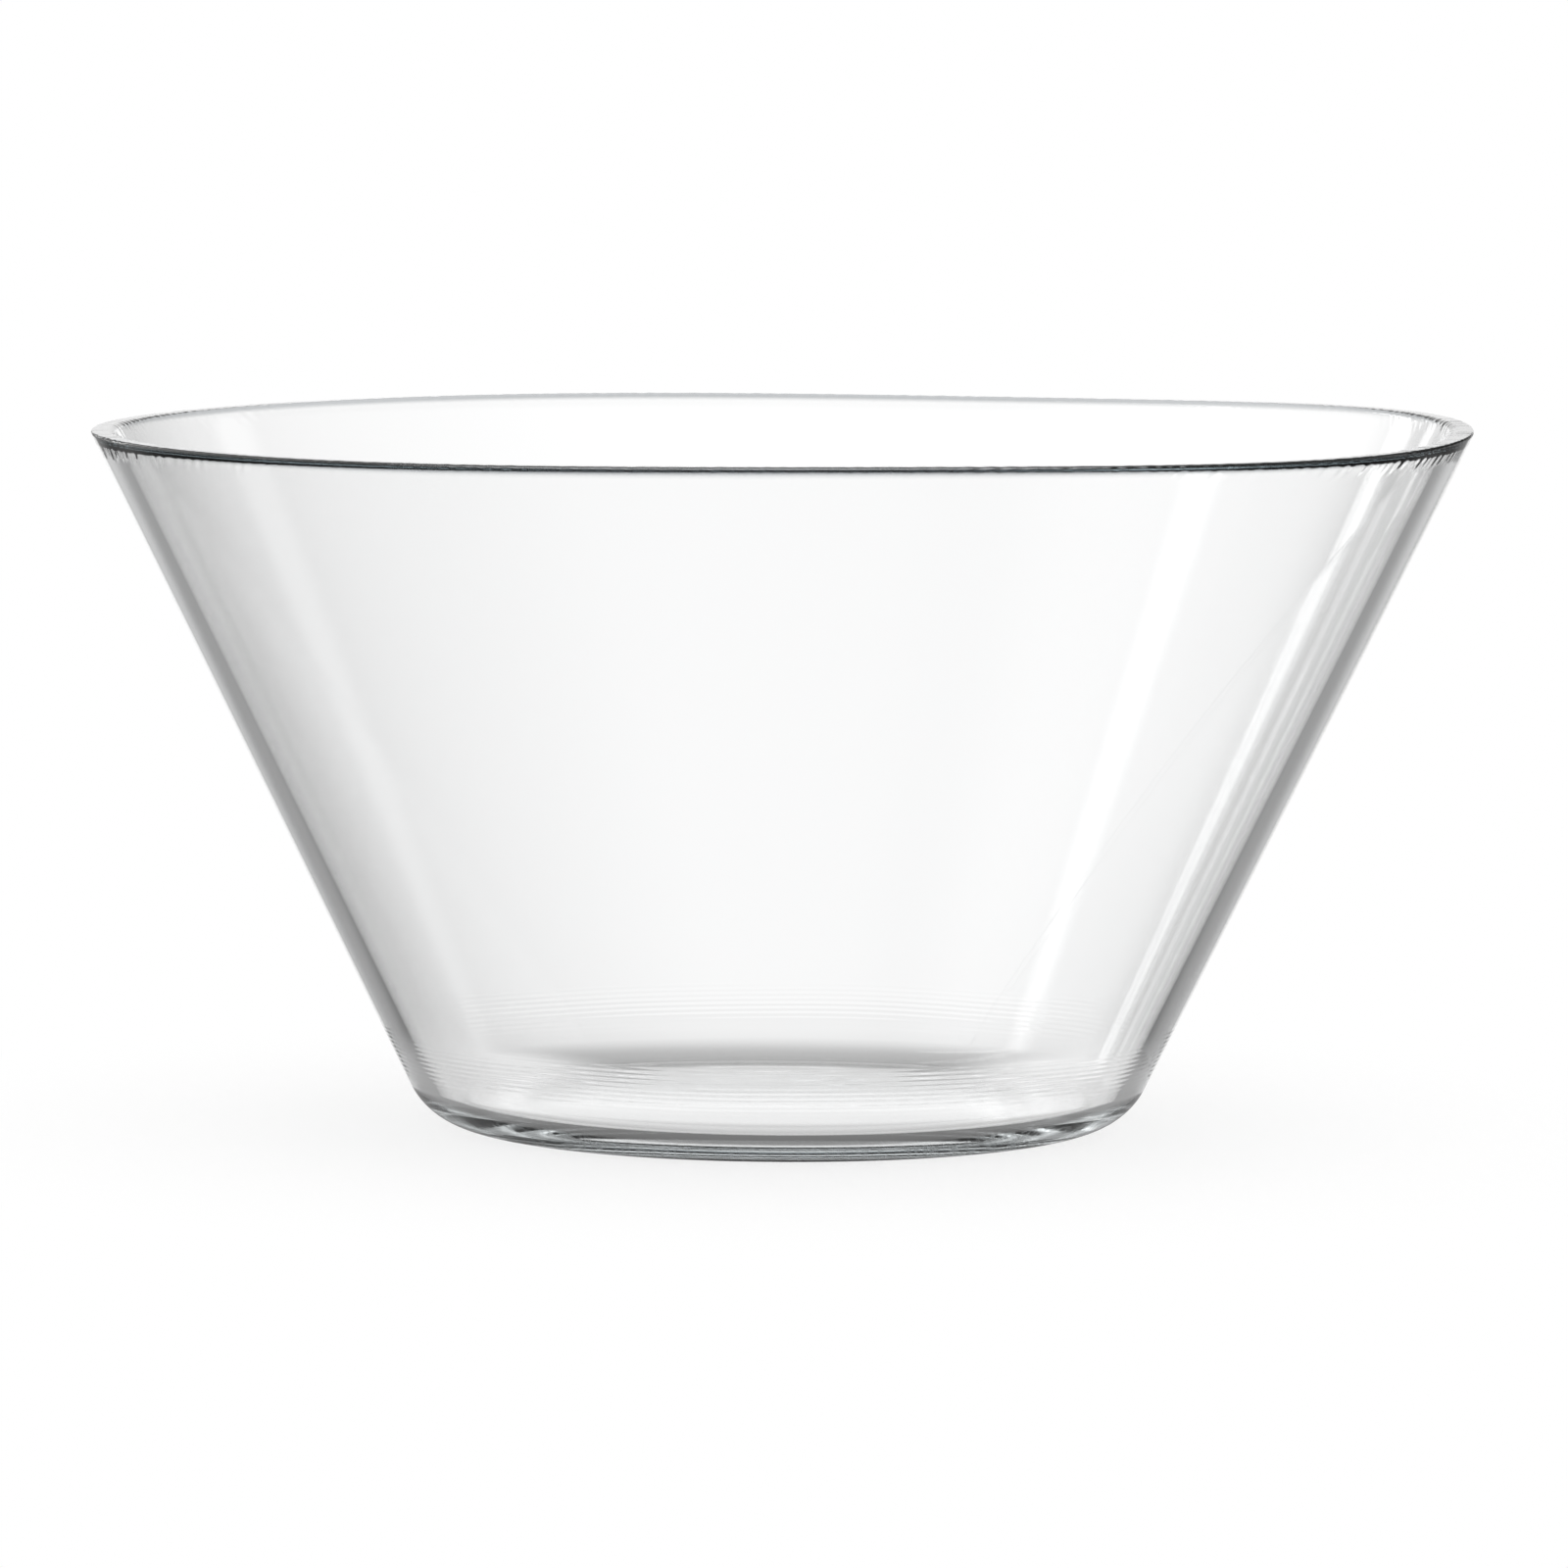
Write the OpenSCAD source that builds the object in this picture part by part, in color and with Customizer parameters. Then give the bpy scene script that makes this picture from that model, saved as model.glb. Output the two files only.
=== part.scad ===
// Clear glass salad bowl, one piece of glass: a straight cone-shaped wall under a level-cut rim,
// a rounded heel, a flat floor, and a shallow push-up inside the ring that it stands on.
// Millimetres, +Z up, with the origin at the middle of the foot, on the table.

/* [Bowl] */
// Outer diameter over the rim
rim_d = 280; // [230:1:330]
// Height from the table to the top of the rim
bowl_h = 142; // [100:1:180]
// Diameter of the circle where the flat foot ends and the heel begins
foot_d = 123; // [100:1:150]

/* [Wall] */
// Thickness of the wall at the rim
rim_t = 4; // [3.8:0.1:5]
// Radius of the rim's outer edge, where it was cut level
outer_edge_r = 0.5; // [0.3:0.1:0.8]
// Radius of the rim's inner edge, which the flame rounded more
inner_edge_r = 1.9; // [1:0.1:1.9]
// Thickness of the wall where it runs into the heel
heel_t = 4.2; // [3:0.1:6]

/* [Base] */
// Radius of the rounded heel between the foot and the wall
heel_r = 15; // [8:0.5:25]
// Thickness of the floor, measured from the table
floor_t = 5.5; // [4:0.5:10]
// Radius of the inside corner between the floor and the wall
corner_r = 8; // [4:0.5:15]
// Width of the flat ring that the bowl stands on
ring_w = 9; // [5:0.5:20]
// Height of the shallow push-up inside that ring
pushup_h = 1; // [0.4:0.1:2]

/* [Hidden] */
$fa = 2;
$fs = 0.4;
// Finer facets for the push-up, whose radius is very large
pushup_fa = 0.05;
// How far the straight stretches of the section run into its arcs
overlap = 0.001;
glass_colour = [0.86, 0.9, 0.91, 0.35];

// Unit vector at an angle
function unit(angle) = [cos(angle), sin(angle)];
// Angle of a vector
function heading(v) = atan2(v.y, v.x);

// The outer wall is the common tangent of the heel circle and the circle of the rim's outer edge
outer_edge = [rim_d / 2 - outer_edge_r, bowl_h - outer_edge_r];
heel_centre = [foot_d / 2, heel_r];
outer_span = outer_edge - heel_centre;
outer_normal = heading(outer_span) - acos((heel_r - outer_edge_r) / norm(outer_span));
outer_heel_point = heel_centre + (heel_r - overlap) * unit(outer_normal);
outer_edge_point = outer_edge + (outer_edge_r - overlap) * unit(outer_normal);

// The inner wall starts one wall thickness inside the heel and touches the circle of the inner edge
edge_drop = inner_edge_r - outer_edge_r;
edge_run = (rim_t - outer_edge_r - inner_edge_r - edge_drop * sin(outer_normal)) / cos(outer_normal);
inner_edge = outer_edge - [edge_run, edge_drop];
inner_start = heel_centre + (heel_r - heel_t) * unit(outer_normal);
inner_span = inner_edge - inner_start;
inner_normal = heading(inner_span) - acos(inner_edge_r / norm(inner_span));
inner_edge_point = inner_edge - (inner_edge_r - overlap) * unit(inner_normal);

// The inside corner touches the floor and the inner wall
corner_z = floor_t + corner_r;
corner_run = corner_r + (corner_z - inner_start.y) * sin(inner_normal);
corner_centre = [inner_start.x - corner_run / cos(inner_normal), corner_z];
corner_wall_point = corner_centre + (corner_r - overlap) * unit(inner_normal);

// The push-up is a cap of a large sphere
pushup_rim = foot_d / 2 - ring_w;
pushup_r = (pow(pushup_rim, 2) + pow(pushup_h, 2)) / (2 * pushup_h);

// Half section of the wall and the base, with the inside filled up to its corner
module filled_section() {
    polygon([
        [0, 0],
        [heel_centre.x, 0],
        outer_heel_point,
        outer_edge_point,
        outer_edge,
        [outer_edge.x, bowl_h],
        [inner_edge.x, bowl_h],
        inner_edge,
        inner_edge_point,
        corner_wall_point,
        [0, corner_wall_point.y]
    ]);
    translate(heel_centre)
        circle(heel_r);
}

// Half section of the space inside, open upwards
module cavity_section() {
    polygon([
        [0, floor_t],
        [corner_centre.x, floor_t],
        corner_wall_point,
        inner_edge_point,
        [0, inner_edge_point.y]
    ]);
    translate(corner_centre)
        circle(corner_r);
}

// Half section of the glass
module glass_section() {
    difference() {
        filled_section();
        cavity_section();
        translate([0, pushup_h - pushup_r])
            circle(pushup_r, $fa = pushup_fa);
    }
    translate(outer_edge)
        circle(outer_edge_r);
    translate(inner_edge)
        circle(inner_edge_r);
}

module glass_bowl() {
    color(glass_colour)
        rotate_extrude()
            glass_section();
}

glass_bowl();
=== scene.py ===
"""Looks for a clear glass salad bowl: its glass, the table it stands on, the studio and the camera.

Metres, +Z up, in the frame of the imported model, with the camera on the -Y side. Directions in the studio are
in degrees: azimuths run from +Y towards +X, and elevations up from level.
"""

import math

import bpy
import numpy as np
from mathutils import Matrix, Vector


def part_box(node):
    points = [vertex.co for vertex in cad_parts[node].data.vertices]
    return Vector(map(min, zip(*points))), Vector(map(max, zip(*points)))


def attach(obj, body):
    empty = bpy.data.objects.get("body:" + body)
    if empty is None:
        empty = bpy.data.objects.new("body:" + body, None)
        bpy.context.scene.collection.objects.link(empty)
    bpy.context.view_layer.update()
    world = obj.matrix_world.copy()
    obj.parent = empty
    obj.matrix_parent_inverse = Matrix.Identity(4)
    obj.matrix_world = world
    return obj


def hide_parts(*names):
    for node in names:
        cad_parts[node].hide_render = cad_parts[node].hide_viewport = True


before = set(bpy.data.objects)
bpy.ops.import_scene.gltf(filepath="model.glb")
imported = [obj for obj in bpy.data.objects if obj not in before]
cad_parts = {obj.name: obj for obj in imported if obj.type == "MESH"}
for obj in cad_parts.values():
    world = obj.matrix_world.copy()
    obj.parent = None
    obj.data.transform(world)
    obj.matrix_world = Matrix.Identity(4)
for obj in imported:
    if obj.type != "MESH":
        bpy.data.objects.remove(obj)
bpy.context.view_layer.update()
node_low, node_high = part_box("glass_bowl")

# Sizes of the bowl
RIM_D = node_high.x - node_low.x
BOWL_H = node_high.z
FOOT_D = 0.123
RIM_T = 0.004
OUTER_EDGE_R = 0.0005
INNER_EDGE_R = 0.0019
HEEL_T = 0.0042
HEEL_R = 0.015
FLOOR_T = 0.0055
CORNER_R = 0.008
RING_W = 0.009
PUSHUP_H = 0.001

# Fineness of the mesh
TURN_STEPS = 1440
RIPPLE_ROW = 0.00016
WALL_ROWS = 16
LIP_ROWS = 24
EDGE_ROWS = 12
ARC_ROWS = 40
FLOOR_ROWS = 16

# Turning marks on the lower wall. Each sway is a number of waves, a start and a size, both in radians
RIPPLE_LOW = 0.0095
RIPPLE_HIGH = 0.0215
RIPPLE_PITCH = 0.001
RIPPLE_SWAYS = [(2, 0.4, 1.5), (5, 2.1, 0.8), (9, 4.0, 0.4)]
RIPPLE_DEPTH = 0.00001

# The rim is not quite level. Each low wave is a number of waves, a phase in degrees and a height
RIM_TILT = 0.0062
RIM_WAVES = [(2, 58, 0.00018), (3, 65, 0.00046), (4, 60, 0.00029)]

# Wrinkles next to the rim, which reach further down on the inside
WRINKLES_OUTSIDE = 0.001
WRINKLES_INSIDE = 0.004
WRINKLE_SEED = 7
WRINKLE_TURNS = (50, 320)
WRINKLE_WAVES = 40
WRINKLE_SLANT = 0.8
WRINKLE_DEPTH = 0.000022

# Clear glass, with faint smears, and scuffs where it stands
GLASS_IOR = 1.5
GLASS_TINT = (0.35, 0.70, 0.78, 1)
GLASS_DENSITY = 1.0
SMEAR_ROUGHNESS = 0.01
SMEAR_SCALE = 30
SMEAR_SPREAD = (0.5, 0.7)
SCUFF_ROUGHNESS = 0.12
SCUFF_SCALE = 900
SCUFF_SPREAD = (0.4, 0.6)
SCUFF_H = 0.0004

# Painted grey shade on the rim, a base colour that darkens the rim band, the depths between which it fades,
# and how slowly depth counts on the outside
RIM_PAINTED_SHADE = (0.40, 0.42, 0.44, 1)
RIM_SHADE_DEPTHS = (0.0004, 0.0014)
OUTSIDE_SHARE = 0.55

# Surfaces that a ray may pass or be turned by, and how many of those may be reflections
LIGHT_BOUNCES = 24
TURNS_INSIDE = 18

# The photographed view, with pitch and roll in radians
PICTURE_SIDE = 1600
SENSOR_W = 36
FOCAL_PIXELS = 10351
CAMERA_X = 0.00085
CAMERA_Y = -2.05608
CAMERA_Z = 0.25902
CAMERA_PITCH = 0.09194
CAMERA_ROLL = 0.00733

# The table, and the share of the bowl's shadow that it shows
TABLE_R = 0.2
TABLE_GAP = 0.0002
SHADOW_SHARE = 0.3

# Painted brightness of the table in the glass, with a painted shadow round the foot, by distance, for rays
# that crossed one wall
ONE_WALL_LIGHT = [
    (0.052, 0.92),
    (0.060, 0.62),
    (0.070, 0.80),
    (0.090, 0.88),
    (0.120, 0.92),
]
# The same for rays that crossed two walls, and the number of surfaces after which they have
TWO_WALL_LIGHT = [
    (0.055, 0.60),
    (0.059, 0.26),
    (0.062, 0.20),
    (0.068, 0.24),
    (0.080, 0.36),
    (0.092, 0.44),
    (0.100, 0.52),
    (0.112, 0.67),
    (0.122, 0.77),
    (0.135, 0.84),
    (0.165, 0.92),
]
SECOND_WALL_AFTER = 3
# Cosines of the angle from straight behind the bowl between which that light takes over
BEHIND = (0.75, 0.90)
# The same for rays that bounced in the glass, which see through the table beyond a radius
BOUNCED_R = 0.110
BOUNCED_LIGHT = [
    (0.055, 0.60),
    (0.059, 0.24),
    (0.062, 0.18),
    (0.068, 0.20),
    (0.076, 0.32),
    (0.092, 0.44),
    (0.110, 0.54),
]
BOUNCED_FADE = 0.030
# Painted light under the foot, darker in front and brighter behind, from front to back, and the distances
# between which it ends
UNDER_R = (0.050, 0.056)
UNDER_LIGHT = [
    (-0.055, 0.56),
    (-0.020, 0.56),
    (0.010, 0.64),
    (0.030, 0.95),
    (0.055, 1.08),
]

# Brightness of the studio that the glass shows, by elevation: to the sides, and along the paper sweep
STUDIO_SIDES = [
    (-90, 0.30),
    (-40, 0.14),
    (-27, 0.10),
    (-21, 0.14),
    (-17, 0.32),
    (-12, 0.42),
    (-8, 1.00),
    (-2, 1.00),
    (6, 0.32),
    (15, 0.18),
    (27, 0.22),
    (45, 1.00),
    (90, 1.50),
]
STUDIO_SWEEP = [
    (-90, 0.40),
    (-40, 0.40),
    (-25, 0.46),
    (-21, 0.46),
    (-17.4, 0.36),
    (-15, 0.48),
    (-13.3, 0.60),
    (-11.9, 0.66),
    (-10.9, 0.73),
    (-8.7, 0.86),
    (-7, 0.95),
    (-6.4, 1.00),
    (2, 1.00),
    (5, 1.25),
    (9, 1.25),
    (18, 0.50),
    (30, 0.40),
    (45, 1.10),
    (90, 1.50),
]
# Brightness of the low backdrop for rays that go straight through, and where the studio begins above it
LOW_BACKDROP = [
    (-90, 0.92),
    (-9, 0.92),
    (-6.2, 1.00),
]
LOW_UP_TO = (4, 8)
# Azimuths from the backdrop at which the sweep ends at the back, and begins again at the front
SWEEP_BACK = (8, 20)
SWEEP_FRONT = (100, 160)

# Dark flags beside the backdrop, for reflections only: soft limits in azimuth and elevation, darkness
FLAGS = [
    ((-40, -20), (-13, -10), (-20, -14), (4, 8), 0.65),
    ((10, 13), (50, 80), (-20, -14), (14, 20), 0.65),
]

# Softboxes: azimuth, elevation, width, height, softness, brightness
SOFTBOXES = [
    (-83, 34, 5, 60, 2, 2.0),
    (-80, 28, 80, 44, 18, 1.10),
    (-34, 13, 6, 26, 1, 2.0),
    (-21, 7, 4, 16, 1, 1.0),
    (56, 23, 9, 50, 2, 0.55),
]
# Cosine below which a softbox fades, so that it isn't seen behind
BOX_AHEAD = 0.05

# Plain white, and the angle of straight up
WHITE = (1, 1, 1, 1)
UP = math.pi / 2


def unit(angle):
    return np.array([math.cos(angle), math.sin(angle)])


def heading(vector):
    return math.atan2(vector[1], vector[0])


def straight(start, end, steps):
    share = np.linspace(0, 1, steps + 1)[:, None]
    return start + (end - start) * share


def at_height(start, end, height):
    """Point at a height on the line from start to end."""
    return start + (end - start) * (height - start[1]) / (end[1] - start[1])


def arc(centre, radius, start, end, steps):
    angles = np.linspace(start, end, steps + 1)
    return centre + radius * np.column_stack([np.cos(angles), np.sin(angles)])


def outer_wall():
    """Centres of the outer edge and the heel, and the angle of the normal of the wall that touches both."""
    edge = np.array([RIM_D / 2 - OUTER_EDGE_R, BOWL_H - OUTER_EDGE_R])
    heel = np.array([FOOT_D / 2, HEEL_R])
    span = edge - heel
    normal = heading(span) - math.acos((HEEL_R - OUTER_EDGE_R) / np.hypot(*span))
    return edge, heel, normal


def inner_wall(outer_edge, heel, outer_normal):
    """Centres of the inner edge and the inside corner, and the angle of the inner wall's normal."""
    drop = INNER_EDGE_R - OUTER_EDGE_R
    gap = RIM_T - OUTER_EDGE_R - INNER_EDGE_R - drop * math.sin(outer_normal)
    edge = outer_edge - np.array([gap / math.cos(outer_normal), drop])
    start = heel + (HEEL_R - HEEL_T) * unit(outer_normal)
    span = edge - start
    normal = heading(span) - math.acos(INNER_EDGE_R / np.hypot(*span))
    corner_z = FLOOR_T + CORNER_R
    run = CORNER_R + (corner_z - start[1]) * math.sin(normal)
    corner = np.array([start[0] - run / math.cos(normal), corner_z])
    return edge, corner, normal


def underside_stretches():
    """The push-up, and the ring that the bowl stands on."""
    rim = FOOT_D / 2 - RING_W
    radius = (rim**2 + PUSHUP_H**2) / (2 * PUSHUP_H)
    centre = np.array([0, PUSHUP_H - radius])
    return [
        arc(centre, radius, UP, math.acos(rim / radius), FLOOR_ROWS),
        straight(np.array([rim, 0]), np.array([FOOT_D / 2, 0]), FLOOR_ROWS),
    ]


def outside_stretches(edge, heel, normal):
    """The heel, the outer wall and its edge."""
    low = heel + HEEL_R * unit(normal)
    high = edge + OUTER_EDGE_R * unit(normal)
    ripple_top = at_height(low, high, RIPPLE_HIGH)
    ripple_rows = round((RIPPLE_HIGH - low[1]) / RIPPLE_ROW)
    lip = at_height(low, high, BOWL_H - WRINKLES_INSIDE)
    return [
        arc(heel, HEEL_R, -UP, normal, ARC_ROWS),
        straight(low, ripple_top, ripple_rows),
        straight(ripple_top, lip, WALL_ROWS),
        straight(lip, high, LIP_ROWS),
        arc(edge, OUTER_EDGE_R, normal, UP, EDGE_ROWS),
    ]


def inside_stretches(edge, corner, normal):
    """The inner edge, the inner wall, the inside corner and the floor."""
    high = edge - INNER_EDGE_R * unit(normal)
    low = corner + CORNER_R * unit(normal)
    lip = at_height(low, high, BOWL_H - WRINKLES_INSIDE)
    return [
        arc(edge, INNER_EDGE_R, UP, normal + math.pi, LIP_ROWS),
        straight(high, lip, LIP_ROWS),
        straight(lip, low, WALL_ROWS),
        arc(corner, CORNER_R, normal, -UP, ARC_ROWS),
        straight(np.array([corner[0], FLOOR_T]), np.array([0, FLOOR_T]), FLOOR_ROWS),
    ]


def glass_section():
    """Points (radius, height) round half of the bowl's section, from under its middle to its floor."""
    outer_edge, heel, outer_normal = outer_wall()
    inner_edge, corner, inner_normal = inner_wall(outer_edge, heel, outer_normal)
    stretches = underside_stretches()
    stretches += outside_stretches(outer_edge, heel, outer_normal)
    stretches += [straight(np.array([outer_edge[0], BOWL_H]), np.array([inner_edge[0], BOWL_H]), EDGE_ROWS)]
    stretches += inside_stretches(inner_edge, corner, inner_normal)
    return np.vstack([stretches[0]] + [stretch[1:] for stretch in stretches[1:]])


def outside_rows(section):
    """True for the points of the section that come before the top of the rim."""
    return np.arange(len(section)) < np.argmax(section[:, 1])


def section_normals(section):
    along = np.gradient(section, axis=0)
    along /= np.linalg.norm(along, axis=1)[:, None]
    return np.column_stack([along[:, 1], -along[:, 0]])


def ripple_depth(height, outside, turn):
    """Faint swaying rings left by turning, on the outside of the lower wall."""
    share = np.clip((height - RIPPLE_LOW) / (RIPPLE_HIGH - RIPPLE_LOW), 0, 1)
    fade = np.where(outside, np.sin(math.pi * share) ** 2, 0)[:, None]
    sway = sum(size * np.cos(count * turn + start) for count, start, size in RIPPLE_SWAYS)
    return RIPPLE_DEPTH * fade * np.cos(2 * math.pi * height[:, None] / RIPPLE_PITCH + sway)


def wrinkle_depth(height, outside, turn):
    """Slanting wrinkles that the flame left on the lip, as an array of rows and turn steps."""
    chance = np.random.default_rng(WRINKLE_SEED)
    turns = chance.integers(*WRINKLE_TURNS, WRINKLE_WAVES)
    starts = chance.uniform(0, 2 * math.pi, WRINKLE_WAVES)
    below = (BOWL_H - height)[:, None]
    slanted = turn + WRINKLE_SLANT * below / (RIM_D / 2)
    waves = sum(np.cos(count * slanted + start) for count, start in zip(turns, starts))
    reach = np.where(outside, WRINKLES_OUTSIDE, WRINKLES_INSIDE)[:, None]
    fade = np.cos(math.pi / 2 * np.clip(below / reach, 0, 1)) ** 2
    return WRINKLE_DEPTH * fade * waves / math.sqrt(WRINKLE_WAVES / 2)


def turn_angles():
    return np.arange(TURN_STEPS) * 2 * math.pi / TURN_STEPS


def rim_lift(turn):
    """How far the low waves of the rim lift it."""
    return sum(size * np.cos(count * turn - math.radians(phase)) for count, phase, size in RIM_WAVES)


def bowl_points(section):
    """Rings of points of the bowl, as an array of rows, turn steps and coordinates."""
    normals = section_normals(section)
    outside = outside_rows(section)
    turn = turn_angles()
    depth = ripple_depth(section[:, 1], outside, turn) + wrinkle_depth(section[:, 1], outside, turn)
    radius = section[:, :1] + normals[:, :1] * depth
    height = section[:, 1:] + normals[:, 1:] * depth
    across = radius * np.cos(turn)
    height = height + (RIM_TILT * across + rim_lift(turn)) * (height / BOWL_H) ** 2
    return np.stack([across, radius * np.sin(turn), height], axis=2)


def ring_faces(first, second):
    """Four-sided faces between two rings of vertex numbers."""
    return np.column_stack([first, np.roll(first, -1), np.roll(second, -1), second]).tolist()


def new_object(name, points, faces):
    mesh = bpy.data.meshes.new(name)
    mesh.from_pydata(points, [], faces)
    mesh.shade_smooth()
    made = bpy.data.objects.new(name, mesh)
    bpy.context.scene.collection.objects.link(made)
    return made


def bowl_faces(rows):
    """Faces between the rings and a fan at each end, whose middle points are numbered after the rings."""
    numbers = np.arange(rows * TURN_STEPS).reshape(rows, TURN_STEPS)
    under = rows * TURN_STEPS
    above = under + 1
    faces = []
    for row in range(rows - 1):
        faces += ring_faces(numbers[row], numbers[row + 1])
    for step in range(TURN_STEPS):
        after = (step + 1) % TURN_STEPS
        faces.append([under, numbers[0, after], numbers[0, step]])
        faces.append([above, numbers[-1, step], numbers[-1, after]])
    return faces


def in_mesh_order(rows):
    """One value for each point of the mesh, from one for each point of the section."""
    return np.append(rows[1:-1].repeat(TURN_STEPS), rows[[0, -1]])


def make_bowl():
    section = glass_section()
    rings = bowl_points(section)
    points = np.vstack([rings[1:-1].reshape(-1, 3), rings[[0, -1], 0]])
    made = new_object("salad_bowl_glass", points.tolist(), bowl_faces(len(rings) - 2))
    depth = BOWL_H - section[:, 1]
    depth[outside_rows(section)] *= OUTSIDE_SHARE
    stored = made.data.attributes.new("below_rim", "FLOAT", "POINT")
    stored.data.foreach_set("value", in_mesh_order(depth))
    return made


def new_node(tree, kind, **settings):
    node = tree.nodes.new(kind)
    for name, value in settings.items():
        setattr(node, name, value)
    return node


def math_node(tree, operation, *values):
    """A Math node, whose inputs are sockets or numbers."""
    node = new_node(tree, "ShaderNodeMath", operation=operation)
    for socket, value in zip(node.inputs, values):
        if isinstance(value, bpy.types.NodeSocket):
            tree.links.new(value, socket)
        else:
            socket.default_value = value
    return node.outputs[0]


def ranged(tree, value, low, high, to_low, to_high):
    """A smooth Map Range node from low..high to to_low..to_high."""
    node = new_node(tree, "ShaderNodeMapRange", interpolation_type="SMOOTHSTEP")
    tree.links.new(value, node.inputs["Value"])
    for name, number in zip(("From Min", "From Max", "To Min", "To Max"), (low, high, to_low, to_high)):
        node.inputs[name].default_value = number
    return node.outputs["Result"]


def empty_material(name):
    material = bpy.data.materials.new(name)
    material.use_nodes = True
    material.node_tree.nodes.clear()
    return material, material.node_tree


def glass_colour(tree):
    """White, with a painted grey shade next to the rim."""
    below_rim = new_node(tree, "ShaderNodeAttribute", attribute_name="below_rim")
    colour = new_node(tree, "ShaderNodeMixRGB")
    # Painted shade: a grey base colour that darkens the glass next to the rim
    tree.links.new(ranged(tree, below_rim.outputs["Fac"], *RIM_SHADE_DEPTHS, 0, 1), colour.inputs[0])
    colour.inputs[1].default_value = RIM_PAINTED_SHADE
    colour.inputs[2].default_value = WHITE
    return colour.outputs[0]


def noise_node(tree, place, scale):
    node = new_node(tree, "ShaderNodeTexNoise")
    node.inputs["Scale"].default_value = scale
    tree.links.new(place, node.inputs["Vector"])
    return node.outputs["Fac"]


def glass_roughness(tree):
    """Faint smears all over, and scuffs on the ring that the bowl stands on."""
    place = new_node(tree, "ShaderNodeTexCoord").outputs["Object"]
    axes = new_node(tree, "ShaderNodeSeparateXYZ")
    tree.links.new(place, axes.inputs[0])
    foot = ranged(tree, axes.outputs["Z"], 0, SCUFF_H, SCUFF_ROUGHNESS, 0)
    scuffs = ranged(tree, noise_node(tree, place, SCUFF_SCALE), *SCUFF_SPREAD, 0, 1)
    smears = ranged(tree, noise_node(tree, place, SMEAR_SCALE), *SMEAR_SPREAD, 0, SMEAR_ROUGHNESS)
    return math_node(tree, "MAXIMUM", math_node(tree, "MULTIPLY", foot, scuffs), smears)


def clear_glass():
    material, tree = empty_material("clear_glass")
    shader = new_node(tree, "ShaderNodeBsdfPrincipled")
    tree.links.new(glass_colour(tree), shader.inputs["Base Color"])
    tree.links.new(glass_roughness(tree), shader.inputs["Roughness"])
    shader.inputs["Transmission Weight"].default_value = 1
    shader.inputs["IOR"].default_value = GLASS_IOR
    absorption = new_node(tree, "ShaderNodeVolumeAbsorption")
    absorption.inputs["Color"].default_value = GLASS_TINT
    absorption.inputs["Density"].default_value = GLASS_DENSITY
    output = new_node(tree, "ShaderNodeOutputMaterial")
    tree.links.new(shader.outputs[0], output.inputs["Surface"])
    tree.links.new(absorption.outputs[0], output.inputs["Volume"])
    return material


def ramp_node(tree, share, stops):
    """A brightness that runs straight from stop to stop, each a share from 0 to 1 and a brightness."""
    ramp = new_node(tree, "ShaderNodeValToRGB")
    tree.links.new(share, ramp.inputs[0])
    elements = ramp.color_ramp.elements
    while len(elements) < len(stops):
        elements.new(0.5)
    for element, (position, brightness) in zip(elements, stops):
        element.position = position
        element.color = (brightness, brightness, brightness, 1)
    return ramp.outputs["Color"]


def glassy_rays(tree):
    rays = new_node(tree, "ShaderNodeLightPath")
    return math_node(tree, "MAXIMUM", rays.outputs["Is Glossy Ray"], rays.outputs["Is Transmission Ray"])


def mixed(tree, factor, first, second):
    """A Mix Shader node."""
    node = new_node(tree, "ShaderNodeMixShader")
    for socket, value in zip(node.inputs, (factor, first, second)):
        tree.links.new(value, socket)
    return node.outputs[0]


def bounced_rays(tree):
    """1 for rays that were reflected on their way, and 0 for those that went straight through the glass."""
    rays = new_node(tree, "ShaderNodeLightPath")
    return math_node(tree, "MINIMUM", rays.outputs["Glossy Depth"], 1)


def mixed_light(tree, factor, first, second):
    """A Mix node for two brightnesses."""
    node = new_node(tree, "ShaderNodeMixRGB")
    for socket, value in zip(node.inputs, (factor, first, second)):
        tree.links.new(value, socket)
    return node.outputs[0]


def emitted(tree, light):
    node = new_node(tree, "ShaderNodeEmission")
    tree.links.new(light, node.inputs["Color"])
    return node.outputs[0]


def by_distance(tree, distance, stops):
    share = math_node(tree, "DIVIDE", distance, TABLE_R)
    return ramp_node(tree, share, [(radius / TABLE_R, shown) for radius, shown in stops])


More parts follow.
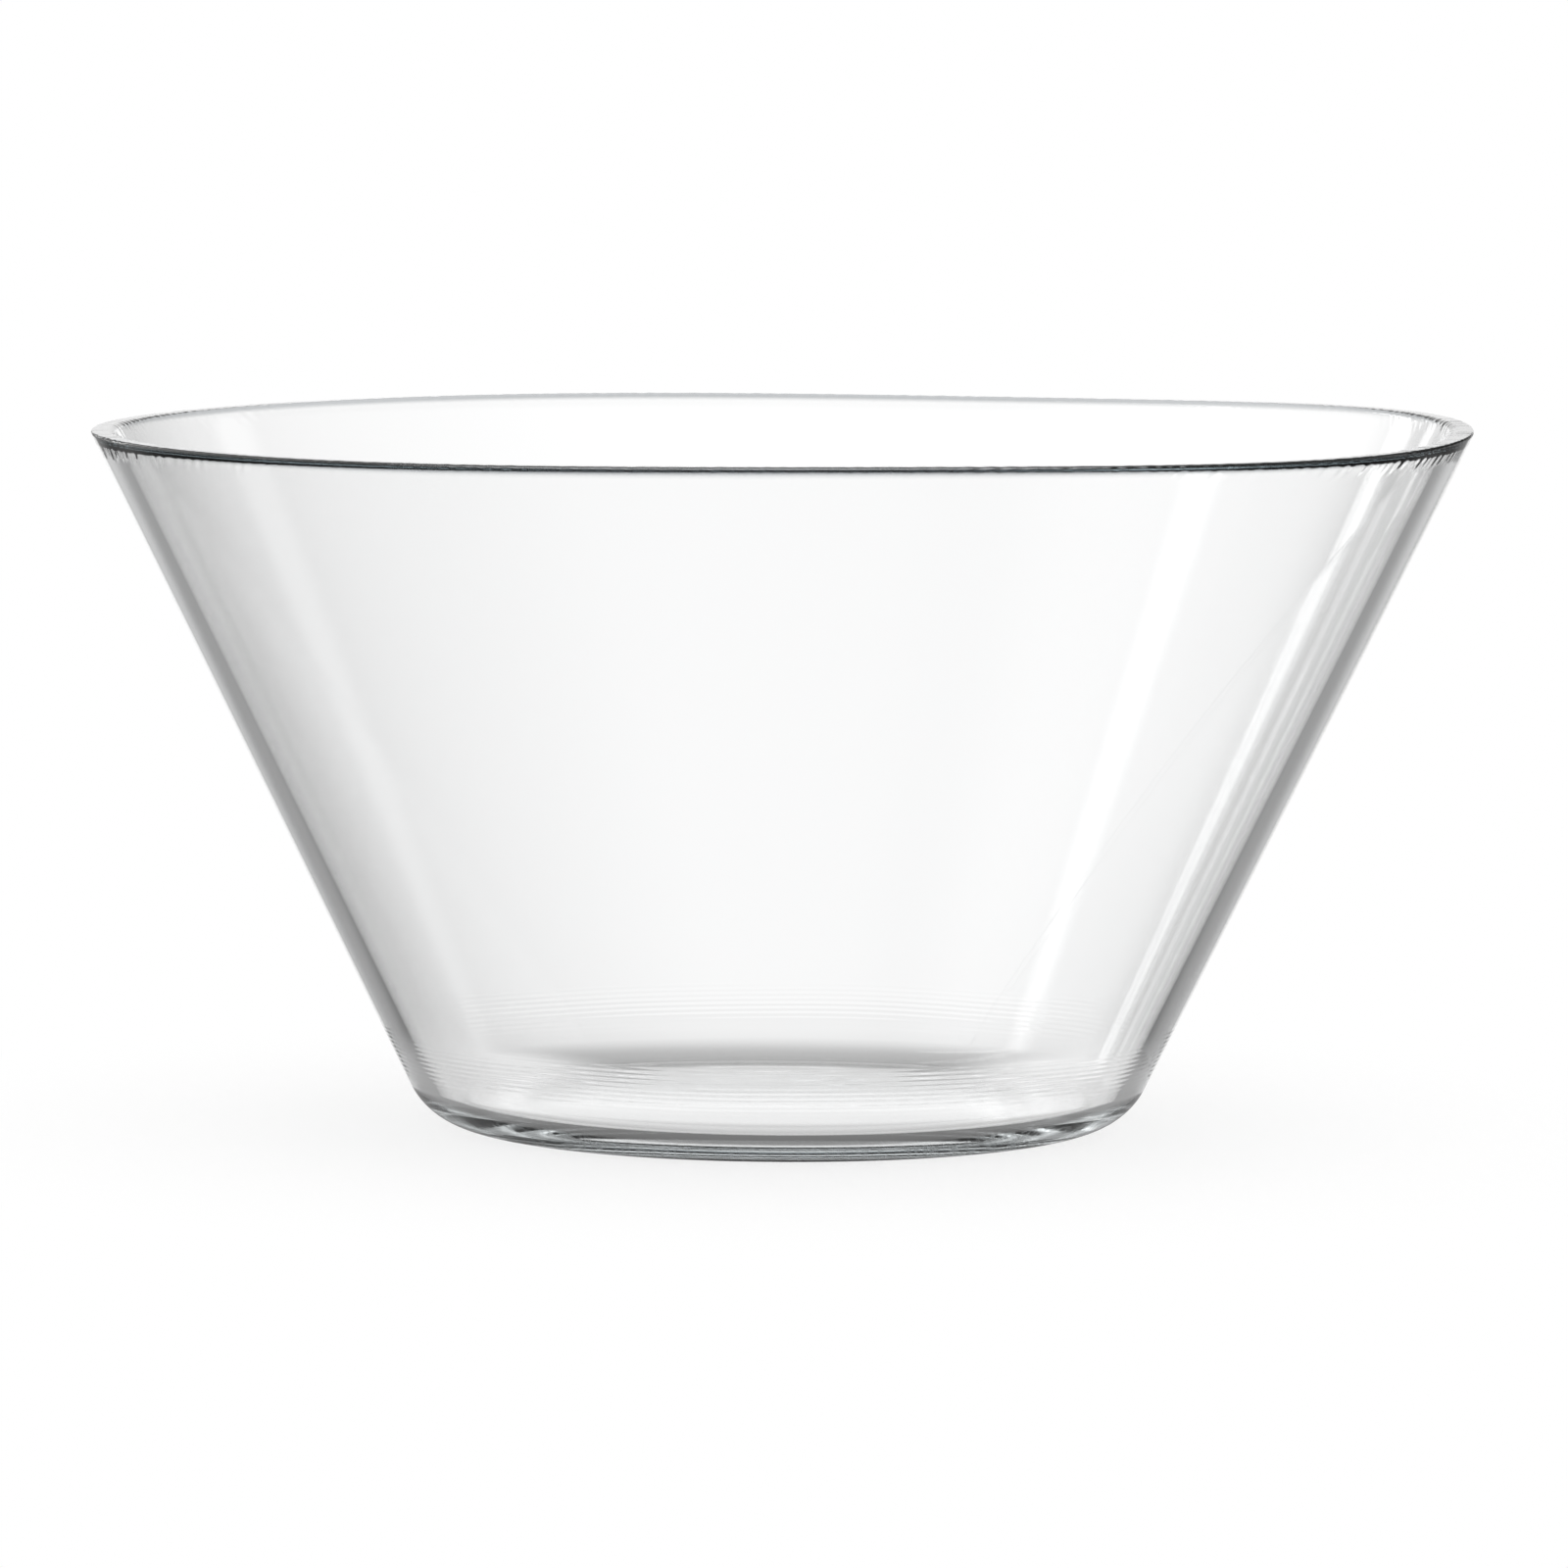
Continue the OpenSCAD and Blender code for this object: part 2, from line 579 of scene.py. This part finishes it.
def table_in_glass(tree, place, distance):
    """The table as glass shows it, as emission: painted light under the foot, and a painted shadow round it.
    """
    axes = new_node(tree, "ShaderNodeSeparateXYZ")
    tree.links.new(place, axes.inputs[0])
    # Painted light under the foot: darker at the front, brighter at the back
    back = math_node(tree, "MULTIPLY_ADD", axes.outputs["Y"], 1 / FOOT_D, 0.5)
    under = ramp_node(tree, back, [(y / FOOT_D + 0.5, shown) for y, shown in UNDER_LIGHT])
    outside = ranged(tree, distance, *UNDER_R, 0, 1)
    behind = ranged(tree, math_node(tree, "DIVIDE", axes.outputs["Y"], distance), *BEHIND, 0, 1)
    # Painted shadow round the foot, emitted as brightness by distance
    one_wall = by_distance(tree, distance, ONE_WALL_LIGHT)
    around = mixed_light(tree, behind, one_wall, by_distance(tree, distance, TWO_WALL_LIGHT))
    rays = new_node(tree, "ShaderNodeLightPath")
    crossed = math_node(tree, "GREATER_THAN", rays.outputs["Transmission Depth"], SECOND_WALL_AFTER)
    passed = mixed_light(tree, crossed, one_wall, mixed_light(tree, outside, under, around))
    # Painted shadow round the foot for bounced rays, fading out beyond a radius
    bounced = mixed_light(tree, outside, under, by_distance(tree, distance, BOUNCED_LIGHT))
    beyond = new_node(tree, "ShaderNodeBsdfTransparent")
    edge = ranged(tree, distance, BOUNCED_R - BOUNCED_FADE, BOUNCED_R, 0, 1)
    fading = mixed(tree, edge, emitted(tree, bounced), beyond.outputs[0])
    return mixed(tree, bounced_rays(tree), emitted(tree, passed), fading)


def pale_table():
    """White with the bowl's shadow, fading into the backdrop at the edge. Glass shows it as a glow with
    painted light and a painted shadow.
    """
    material, tree = empty_material("pale_table")
    place = new_node(tree, "ShaderNodeNewGeometry")
    distance = new_node(tree, "ShaderNodeVectorMath", operation="LENGTH")
    tree.links.new(place.outputs["Position"], distance.inputs[0])
    matt = new_node(tree, "ShaderNodeBsdfDiffuse")
    matt.inputs["Color"].default_value = WHITE
    white = new_node(tree, "ShaderNodeEmission")
    fade = ranged(tree, distance.outputs["Value"], FOOT_D / 2, TABLE_R, 1 - SHADOW_SHARE, 1)
    plain = mixed(tree, fade, matt.outputs[0], white.outputs[0])
    shown = table_in_glass(tree, place.outputs["Position"], distance.outputs["Value"])
    output = new_node(tree, "ShaderNodeOutputMaterial")
    tree.links.new(mixed(tree, glassy_rays(tree), plain, shown), output.inputs["Surface"])
    return material


def make_table():
    turn = turn_angles()
    level = np.full(TURN_STEPS, -TABLE_GAP)
    points = np.column_stack([TABLE_R * np.cos(turn), TABLE_R * np.sin(turn), level])
    table = new_object("table", points.tolist(), [list(range(TURN_STEPS))])
    table.data.materials.append(pale_table())


def direction_of(azimuth, elevation):
    """Unit vector at an azimuth from +Y towards +X and an elevation, in degrees."""
    turn = math.radians(azimuth)
    rise = math.radians(elevation)
    return (math.sin(turn) * math.cos(rise), math.cos(turn) * math.cos(rise), math.sin(rise))


def by_elevation(tree, elevation, stops):
    """Brightness by elevation, which comes in radians."""
    share = math_node(tree, "MULTIPLY_ADD", elevation, 1 / math.pi, 0.5)
    return ramp_node(tree, share, [(degrees / 180 + 0.5, brightness) for degrees, brightness in stops])


def within(tree, angle, rise, fall):
    """1 for angles between two soft limits, each a pair of degrees, and 0 outside them."""
    risen = ranged(tree, angle, math.radians(rise[0]), math.radians(rise[1]), 0, 1)
    fallen = ranged(tree, angle, math.radians(fall[0]), math.radians(fall[1]), 1, 0)
    return math_node(tree, "MULTIPLY", risen, fallen)


def flagged(tree, brightness, azimuth, elevation, flag):
    """A brightness with a dark flag in it, for rays that a surface has reflected."""
    left, right, low, high, darkness = flag
    across = within(tree, azimuth, left, right)
    covered = math_node(tree, "MULTIPLY", across, within(tree, elevation, low, high))
    rays = new_node(tree, "ShaderNodeLightPath")
    shown = math_node(tree, "MULTIPLY", covered, rays.outputs["Is Reflection Ray"])
    kept = math_node(tree, "MULTIPLY_ADD", shown, -darkness, 1)
    return math_node(tree, "MULTIPLY", brightness, kept)


def along(tree, direction, axis):
    node = new_node(tree, "ShaderNodeVectorMath", operation="DOT_PRODUCT")
    tree.links.new(direction, node.inputs[0])
    node.inputs[1].default_value = axis
    return node.outputs["Value"]


def softbox(tree, direction, azimuth, elevation, width, height, softness, brightness):
    """Brightness of one rectangular light far away, by the direction it is seen in."""
    ahead = along(tree, direction, direction_of(azimuth, elevation))
    across = along(tree, direction, direction_of(azimuth + 90, 0))
    upward = along(tree, direction, direction_of(azimuth, elevation + 90))
    lit = ranged(tree, ahead, 0, BOX_AHEAD, 0, brightness)
    for offset, size in ((across, width), (upward, height)):
        angle = math_node(tree, "ARCTAN2", math_node(tree, "ABSOLUTE", offset), ahead)
        inner = math.radians(size / 2 - softness)
        outer = math.radians(size / 2 + softness)
        lit = math_node(tree, "MULTIPLY", lit, ranged(tree, angle, inner, outer, 1, 0))
    return lit


def studio_brightness(tree, direction):
    """The low backdrop, or for bounced and rising rays the sides and sweep with flags and softboxes."""
    axes = new_node(tree, "ShaderNodeSeparateXYZ")
    tree.links.new(direction, axes.inputs[0])
    azimuth = math_node(tree, "ARCTAN2", axes.outputs["X"], axes.outputs["Y"])
    elevation = math_node(tree, "ARCSINE", axes.outputs["Z"])
    beside = within(tree, math_node(tree, "ABSOLUTE", azimuth), SWEEP_BACK, SWEEP_FRONT)
    sweep = by_elevation(tree, elevation, STUDIO_SWEEP)
    brightness = mixed_light(tree, beside, sweep, by_elevation(tree, elevation, STUDIO_SIDES))
    for flag in FLAGS:
        brightness = flagged(tree, brightness, azimuth, elevation, flag)
    for box in SOFTBOXES:
        brightness = math_node(tree, "ADD", brightness, softbox(tree, direction, *box))
    high = ranged(tree, elevation, *np.radians(LOW_UP_TO).tolist(), 0, 1)
    low = by_elevation(tree, elevation, LOW_BACKDROP)
    return mixed_light(tree, math_node(tree, "MAXIMUM", bounced_rays(tree), high), low, brightness)


def make_studio():
    """White for the camera and for matt surfaces. Glass shows a backdrop in a studio with softboxes."""
    world = bpy.data.worlds.new("studio")
    bpy.context.scene.world = world
    world.use_nodes = True
    tree = world.node_tree
    tree.nodes.clear()
    place = new_node(tree, "ShaderNodeTexCoord")
    plain = new_node(tree, "ShaderNodeBackground")
    plain.inputs["Color"].default_value = WHITE
    seen = new_node(tree, "ShaderNodeBackground")
    tree.links.new(studio_brightness(tree, place.outputs["Generated"]), seen.inputs["Color"])
    output = new_node(tree, "ShaderNodeOutputWorld")
    shown = mixed(tree, glassy_rays(tree), plain.outputs[0], seen.outputs[0])
    tree.links.new(shown, output.inputs["Surface"])


def make_camera():
    camera = bpy.data.objects.new("camera", bpy.data.cameras.new("camera"))
    bpy.context.scene.collection.objects.link(camera)
    camera.data.sensor_width = SENSOR_W
    camera.data.lens = FOCAL_PIXELS * SENSOR_W / PICTURE_SIDE
    camera.location = (CAMERA_X, CAMERA_Y, CAMERA_Z)
    tilt = Matrix.Rotation(math.pi / 2 - CAMERA_PITCH, 3, "X")
    camera.rotation_mode = "QUATERNION"
    camera.rotation_quaternion = (tilt @ Matrix.Rotation(CAMERA_ROLL, 3, "Z")).to_quaternion()
    bpy.context.scene.camera = camera


bowl = make_bowl()
bowl.data.materials.append(clear_glass())
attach(bowl, "root")
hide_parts("glass_bowl")
make_table()
make_studio()
make_camera()

scene = bpy.context.scene
scene.cycles.max_bounces = LIGHT_BOUNCES
scene.cycles.transmission_bounces = LIGHT_BOUNCES
scene.cycles.glossy_bounces = TURNS_INSIDE
scene.view_settings.view_transform = "Standard"
